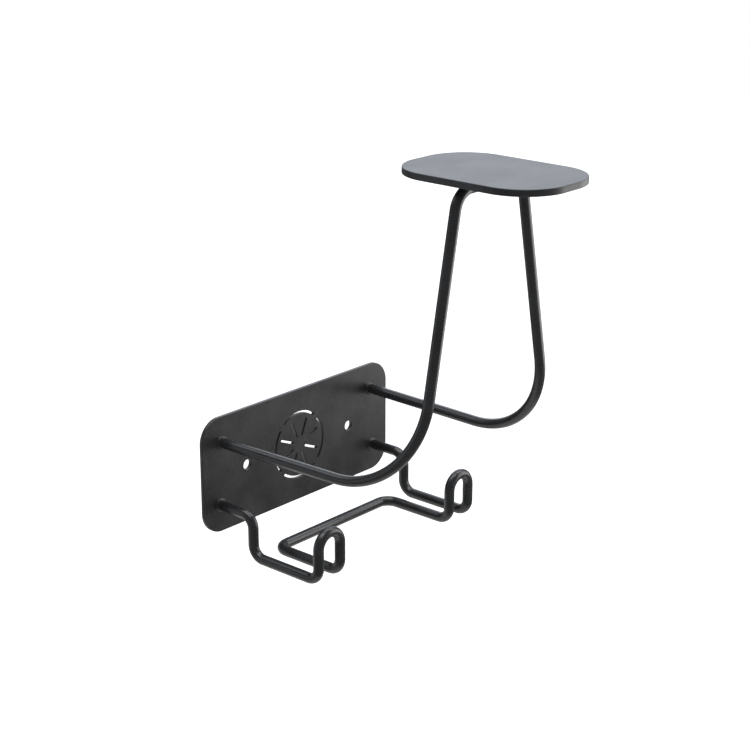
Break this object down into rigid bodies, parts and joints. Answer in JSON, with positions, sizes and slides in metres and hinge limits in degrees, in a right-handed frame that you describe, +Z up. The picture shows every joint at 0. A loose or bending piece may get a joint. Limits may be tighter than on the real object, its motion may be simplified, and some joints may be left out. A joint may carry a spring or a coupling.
{
  "type": "bicycle wall rack",
  "caption": "Wall-mounted bicycle rack with a screwed plate, two bent-bar arms that hold the top tube, a helmet shelf above, and a pair of bent-bar hooks below.",
  "frame": {"origin": "centre of the wall plate's back face, which lies on the wall", "axes": "+Z up, +X along the wall to the right of a person who faces it, +Y into the wall, so the rack stands out along -Y"},
  "size_m": [0.271, 0.332, 0.4005],
  "materials": {
    "powder_coat": "satin black powder coat with a fine texture"
  },
  "bodies": {
    "root": {"wall_plate": "powder_coat", "arm_rod": "powder_coat", "helmet_shelf": "powder_coat", "hook_rod": "powder_coat", "weld_arm_left": "powder_coat", "weld_arm_right": "powder_coat", "weld_hook_left": "powder_coat", "weld_hook_right": "powder_coat", "weld_shelf_front": "powder_coat", "weld_shelf_back": "powder_coat"}
  },
  "joints": []
}
